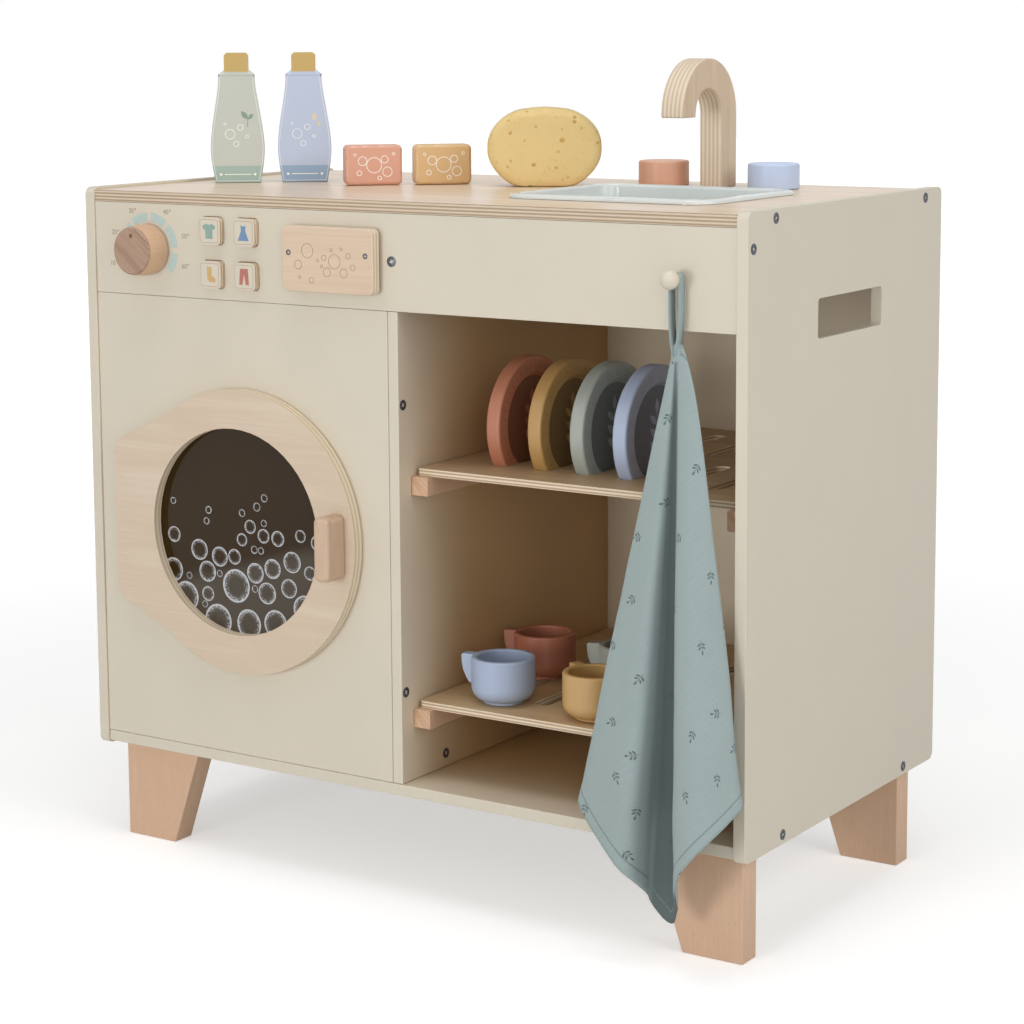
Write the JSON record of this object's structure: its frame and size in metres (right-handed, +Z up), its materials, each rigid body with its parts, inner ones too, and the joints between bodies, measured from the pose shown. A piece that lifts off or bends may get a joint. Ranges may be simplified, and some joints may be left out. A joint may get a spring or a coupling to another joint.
{
  "type": "toy washing machine",
  "caption": "Wooden play laundry unit on four legs: round washer door, dial and buttons, soap drawer, worktop sink with tap, open shelves, and loose play pieces.",
  "frame": {"origin": "on the floor, under the middle of the whole object's box", "axes": "+Z up, +X to the right seen from the front, -Y towards the child at the front"},
  "size_m": [0.6, 0.3508, 0.6443],
  "materials": {
    "cream_paint": "satin cream paint on plywood",
    "birch_plywood": "clear-coated birch plywood",
    "beech": "clear-coated solid wood",
    "smoky_acrylic": "smoky transparent sheet",
    "zinc_steel": "zinc-plated steel",
    "white_plastic": "moulded plastic",
    "terracotta_paint": "satin paint on wood",
    "mustard_paint": "satin paint on wood",
    "sage_paint": "satin paint on wood",
    "sky_blue_paint": "satin paint on wood",
    "sponge_foam": "soft open foam",
    "cotton_cloth": "printed woven cotton"
  },
  "bodies": {
    "cabinet": {"side_panel_left": "cream_paint", "side_panel_right": "cream_paint", "bottom_panel": "cream_paint", "back_panel": "cream_paint", "divider_panel": "cream_paint", "control_fascia": "cream_paint", "worktop": "birch_plywood", "front_panel": "cream_paint", "door_magnet": "zinc_steel", "hinge_upper_fixed_leaf": "zinc_steel", "hinge_lower_fixed_leaf": "zinc_steel", "leg_front_left": "beech", "leg_front_right": "beech", "leg_back_left": "beech", "leg_back_right": "beech", "upper_shelf": "birch_plywood", "lower_shelf": "birch_plywood", "batten_upper_left": "beech", "batten_upper_right": "beech", "batten_lower_left": "beech", "batten_lower_right": "beech", "button_holder": "birch_plywood", "drawer_housing": "birch_plywood", "towel_peg": "cream_paint"},
    "door": {"door_panel": "birch_plywood", "door_window": "smoky_acrylic", "door_grip": "beech", "hinge_upper_door_leaf": "zinc_steel", "hinge_lower_door_leaf": "zinc_steel"},
    "dial": {"dial_knob": "beech", "dial_shaft": "beech"},
    "button_one": {"button_upper_left": "birch_plywood"},
    "button_two": {"button_upper_right": "birch_plywood"},
    "button_three": {"button_lower_left": "birch_plywood"},
    "button_four": {"button_lower_right": "birch_plywood"},
    "drawer": {"drawer_front": "birch_plywood", "drawer_box": "birch_plywood"},
    "tap_left": {"tap_knob_left": "terracotta_paint", "tap_dowel_left": "beech"},
    "tap_right": {"tap_knob_right": "sky_blue_paint", "tap_dowel_right": "beech"},
    "spout": {"faucet": "birch_plywood", "faucet_dowel": "beech"},
    "sink": {"sink_basin": "white_plastic"},
    "towel_set": {"towel": "cotton_cloth", "towel_loop": "cotton_cloth"},
    "softener": {"bottle_softener": "sage_paint"},
    "detergent": {"bottle_detergent": "sky_blue_paint"},
    "soap_left": {"soap_block_left": "terracotta_paint"},
    "soap_right": {"soap_block_right": "mustard_paint"},
    "sponge_block": {"sponge": "sponge_foam"},
    "plate_one": {"plate_terracotta": "terracotta_paint"},
    "plate_two": {"plate_mustard": "mustard_paint"},
    "plate_three": {"plate_sage": "sage_paint"},
    "plate_four": {"plate_blue": "sky_blue_paint"},
    "cup_one": {"cup_blue": "sky_blue_paint"},
    "cup_two": {"cup_terracotta": "terracotta_paint"},
    "cup_three": {"cup_mustard": "mustard_paint"},
    "cup_four": {"cup_sage": "sage_paint"}
  },
  "joints": [
    {"name": "door_hinge", "type": "hinge", "parent": "cabinet", "child": "door", "pos_m": [-0.2702, -0.1456, 0.2742], "axis": [0, 0, -1], "range_deg": [0, 110]},
    {"name": "dial_turn", "type": "hinge", "parent": "cabinet", "child": "dial", "pos_m": [-0.2345, -0.1434, 0.4915], "axis": [0, 1, 0], "continuous": true},
    {"name": "button_upper_left_press", "type": "slide", "parent": "cabinet", "child": "button_one", "axis": [0, 1, 0], "range_m": [0, 0.004], "stiffness_N_per_m": 200},
    {"name": "button_upper_right_press", "type": "slide", "parent": "cabinet", "child": "button_two", "axis": [0, 1, 0], "range_m": [0, 0.004], "stiffness_N_per_m": 200},
    {"name": "button_lower_left_press", "type": "slide", "parent": "cabinet", "child": "button_three", "axis": [0, 1, 0], "range_m": [0, 0.004], "stiffness_N_per_m": 200},
    {"name": "button_lower_right_press", "type": "slide", "parent": "cabinet", "child": "button_four", "axis": [0, 1, 0], "range_m": [0, 0.004], "stiffness_N_per_m": 200},
    {"name": "drawer_slide", "type": "slide", "parent": "cabinet", "child": "drawer", "axis": [0, -1, 0], "range_m": [0, 0.06]},
    {"name": "tap_left_turn", "type": "hinge", "parent": "cabinet", "child": "tap_left", "pos_m": [0.0842, 0.1174, 0.54], "axis": [0, 0, 1], "continuous": true},
    {"name": "tap_right_turn", "type": "hinge", "parent": "cabinet", "child": "tap_right", "pos_m": [0.1832, 0.1174, 0.54], "axis": [0, 0, 1], "continuous": true},
    {"name": "spout_swing", "type": "hinge", "parent": "cabinet", "child": "spout", "pos_m": [0.1337, 0.1174, 0.54], "axis": [0, 0, 1], "range_deg": [-90, 90]},
    {"name": "sink_lift", "type": "slide", "parent": "cabinet", "child": "sink", "axis": [0, 0, 1], "range_m": [0, 0.045]},
    {"name": "towel_swing", "type": "hinge", "parent": "cabinet", "child": "towel_set", "pos_m": [0.2469, -0.1477, 0.4915], "axis": [0, 1, 0], "range_deg": [-12, 12]},
    {"name": "softener_lift", "type": "slide", "parent": "cabinet", "child": "softener", "axis": [0, 0, 1], "range_m": [0, 0.1]},
    {"name": "detergent_lift", "type": "slide", "parent": "cabinet", "child": "detergent", "axis": [0, 0, 1], "range_m": [0, 0.1]},
    {"name": "soap_left_lift", "type": "slide", "parent": "cabinet", "child": "soap_left", "axis": [0, 0, 1], "range_m": [0, 0.1]},
    {"name": "soap_right_lift", "type": "slide", "parent": "cabinet", "child": "soap_right", "axis": [0, 0, 1], "range_m": [0, 0.1]},
    {"name": "sponge_lift", "type": "slide", "parent": "cabinet", "child": "sponge_block", "axis": [0, 0, 1], "range_m": [0, 0.1]},
    {"name": "plate_terracotta_lift", "type": "slide", "parent": "cabinet", "child": "plate_one", "axis": [0, 0, 1], "range_m": [0, 0.06]},
    {"name": "plate_mustard_lift", "type": "slide", "parent": "cabinet", "child": "plate_two", "axis": [0, 0, 1], "range_m": [0, 0.06]},
    {"name": "plate_sage_lift", "type": "slide", "parent": "cabinet", "child": "plate_three", "axis": [0, 0, 1], "range_m": [0, 0.06]},
    {"name": "plate_blue_lift", "type": "slide", "parent": "cabinet", "child": "plate_four", "axis": [0, 0, 1], "range_m": [0, 0.06]},
    {"name": "cup_blue_lift", "type": "slide", "parent": "cabinet", "child": "cup_one", "axis": [0, 0, 1], "range_m": [0, 0.08]},
    {"name": "cup_terracotta_lift", "type": "slide", "parent": "cabinet", "child": "cup_two", "axis": [0, 0, 1], "range_m": [0, 0.08]},
    {"name": "cup_mustard_lift", "type": "slide", "parent": "cabinet", "child": "cup_three", "axis": [0, 0, 1], "range_m": [0, 0.08]},
    {"name": "cup_sage_lift", "type": "slide", "parent": "cabinet", "child": "cup_four", "axis": [0, 0, 1], "range_m": [0, 0.08]}
  ]
}
